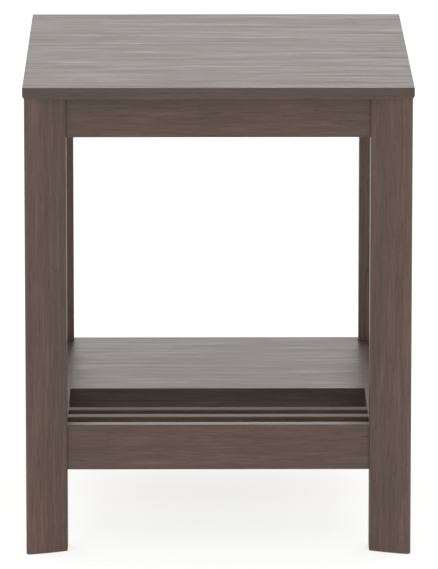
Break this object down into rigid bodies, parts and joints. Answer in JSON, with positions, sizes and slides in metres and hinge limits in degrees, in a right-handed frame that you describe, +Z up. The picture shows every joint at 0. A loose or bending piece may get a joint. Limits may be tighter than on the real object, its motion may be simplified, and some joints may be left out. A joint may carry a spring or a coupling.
{
  "type": "end table with shelf",
  "caption": "Wooden end table with a thin flat top, canted corner legs, aprons, and a low shelf board set back behind open slats and a front rail.",
  "frame": {"origin": "on the floor under the middle of the top", "axes": "+Z up, -Y towards the front with the slats, +X to the right as seen from the front"},
  "size_m": [0.508, 0.61, 0.621],
  "materials": {
    "stained_wood": "grey-brown stain under satin lacquer",
    "bare_wood": "planed, unfinished",
    "zinc_steel": "zinc plated"
  },
  "bodies": {
    "root": {"table_top": "stained_wood", "leg_front_left": "stained_wood", "leg_front_right": "stained_wood", "leg_back_right": "stained_wood", "leg_back_left": "stained_wood", "apron_front": "stained_wood", "apron_back": "stained_wood", "apron_left": "stained_wood", "apron_right": "stained_wood", "rail_front": "stained_wood", "rail_back": "stained_wood", "rail_left": "stained_wood", "rail_right": "stained_wood", "slat_front": "stained_wood", "slat_rear": "stained_wood", "shelf_board": "stained_wood", "shelf_bearer": "stained_wood", "cleat_left": "bare_wood", "cleat_right": "bare_wood", "corner_block_front_left": "bare_wood", "corner_block_front_right": "bare_wood", "corner_block_back_right": "bare_wood", "corner_block_back_left": "bare_wood", "top_screws": "zinc_steel", "shelf_screws": "zinc_steel"}
  },
  "joints": []
}
